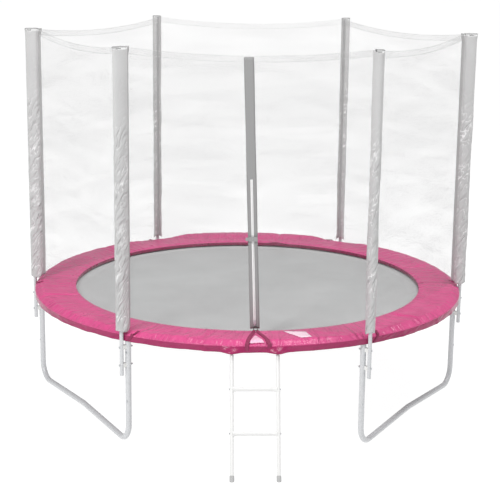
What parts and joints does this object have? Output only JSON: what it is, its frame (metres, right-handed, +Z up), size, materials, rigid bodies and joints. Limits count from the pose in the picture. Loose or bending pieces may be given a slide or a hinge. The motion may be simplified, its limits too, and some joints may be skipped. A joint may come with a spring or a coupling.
{
  "type": "trampoline",
  "caption": "Round garden trampoline with sprung mat, padded rim, pole-and-net enclosure with zipped door, and a hook-on ladder.",
  "frame": {"origin": "on the floor under the middle of the top ring", "axes": "+Z up, -Y towards the door and the ladder, +X to the right of someone facing the door"},
  "size_m": [3.1514, 3.4437, 2.578],
  "materials": {
    "galvanised_steel": "galvanised, semi-bright",
    "sleeve_pvc": "glossy coated fabric",
    "zinc_steel": "zinc plated",
    "mat_weave": "woven polypropylene",
    "pad_pvc": "glossy coated fabric",
    "elastic": "matt",
    "foam": "matt foam",
    "grey_plastic": "moulded",
    "white_plastic": "moulded",
    "net_mesh": "open mesh",
    "net_webbing": "woven",
    "zip_white": "woven tape and moulded teeth",
    "flap_fabric": "woven",
    "dark_plastic": "moulded",
    "strap_webbing": "woven webbing",
    "white_paint": "gloss powder coat",
    "foot_rubber": "matt"
  },
  "bodies": {
    "frame": {"top_rail_1": "galvanised_steel", "top_rail_2": "galvanised_steel", "top_rail_3": "galvanised_steel", "top_rail_4": "galvanised_steel", "top_rail_5": "galvanised_steel", "top_rail_6": "galvanised_steel", "leg_upper_1": "galvanised_steel", "leg_upper_2": "galvanised_steel", "leg_upper_3": "galvanised_steel", "leg_upper_4": "galvanised_steel", "leg_upper_5": "galvanised_steel", "leg_upper_6": "galvanised_steel", "leg_base_1": "galvanised_steel", "leg_base_2": "galvanised_steel", "leg_base_3": "galvanised_steel", "pole_lower_1": "galvanised_steel", "pole_lower_2": "galvanised_steel", "pole_lower_3": "galvanised_steel", "pole_lower_4": "galvanised_steel", "pole_lower_5": "galvanised_steel", "pole_lower_6": "galvanised_steel", "pole_upper_1": "galvanised_steel", "pole_upper_2": "galvanised_steel", "pole_upper_3": "galvanised_steel", "pole_upper_4": "galvanised_steel", "pole_upper_5": "galvanised_steel", "pole_upper_6": "galvanised_steel", "pole_sleeve_1": "sleeve_pvc", "pole_sleeve_2": "sleeve_pvc", "pole_sleeve_3": "sleeve_pvc", "pole_sleeve_4": "sleeve_pvc", "pole_sleeve_5": "sleeve_pvc", "pole_sleeve_6": "sleeve_pvc", "springs": "zinc_steel", "safety_pad": "pad_pvc", "pad_ties": "elastic", "leg_screws": "zinc_steel", "foam_tubes": "foam", "pole_caps": "grey_plastic", "pole_spacers": "white_plastic", "pole_bolts": "zinc_steel", "pole_nuts": "zinc_steel", "enclosure_net": "net_mesh", "net_top_band": "net_webbing", "door_zip": "zip_white", "zip_flap": "flap_fabric", "door_buckle": "grey_plastic", "door_ring": "dark_plastic", "door_straps": "strap_webbing"},
    "bed": {"jumping_mat": "mat_weave", "mat_rings": "zinc_steel"},
    "slider": {"zip_slider": "zinc_steel"},
    "tongue": {"buckle_tongue": "grey_plastic"},
    "ladder": {"ladder_stile_left": "white_paint", "ladder_stile_right": "white_paint", "ladder_step_lower": "white_paint", "ladder_step_upper": "white_paint", "ladder_bolts": "zinc_steel", "ladder_feet": "foot_rubber"}
  },
  "joints": [
    {"name": "mat_bounce", "type": "slide", "parent": "frame", "child": "bed", "axis": [0, 0, 1], "range_m": [-0.3, 0], "stiffness_N_per_m": 5000, "springref_m": 0.03, "deforming": ["springs"]},
    {"name": "zip_pull", "type": "slide", "parent": "frame", "child": "slider", "axis": [-0.0332, 0, 0.9995], "range_m": [0, 0.9]},
    {"name": "buckle_release", "type": "slide", "parent": "frame", "child": "tongue", "axis": [-0.9995, 0, -0.0332], "range_m": [0, 0.03]},
    {"name": "ladder_swing", "type": "hinge", "parent": "frame", "child": "ladder", "pos_m": [0.05755, -1.49799, 0.728], "axis": [-0.9993, -0.0384, 0], "range_deg": [0, 20]}
  ]
}
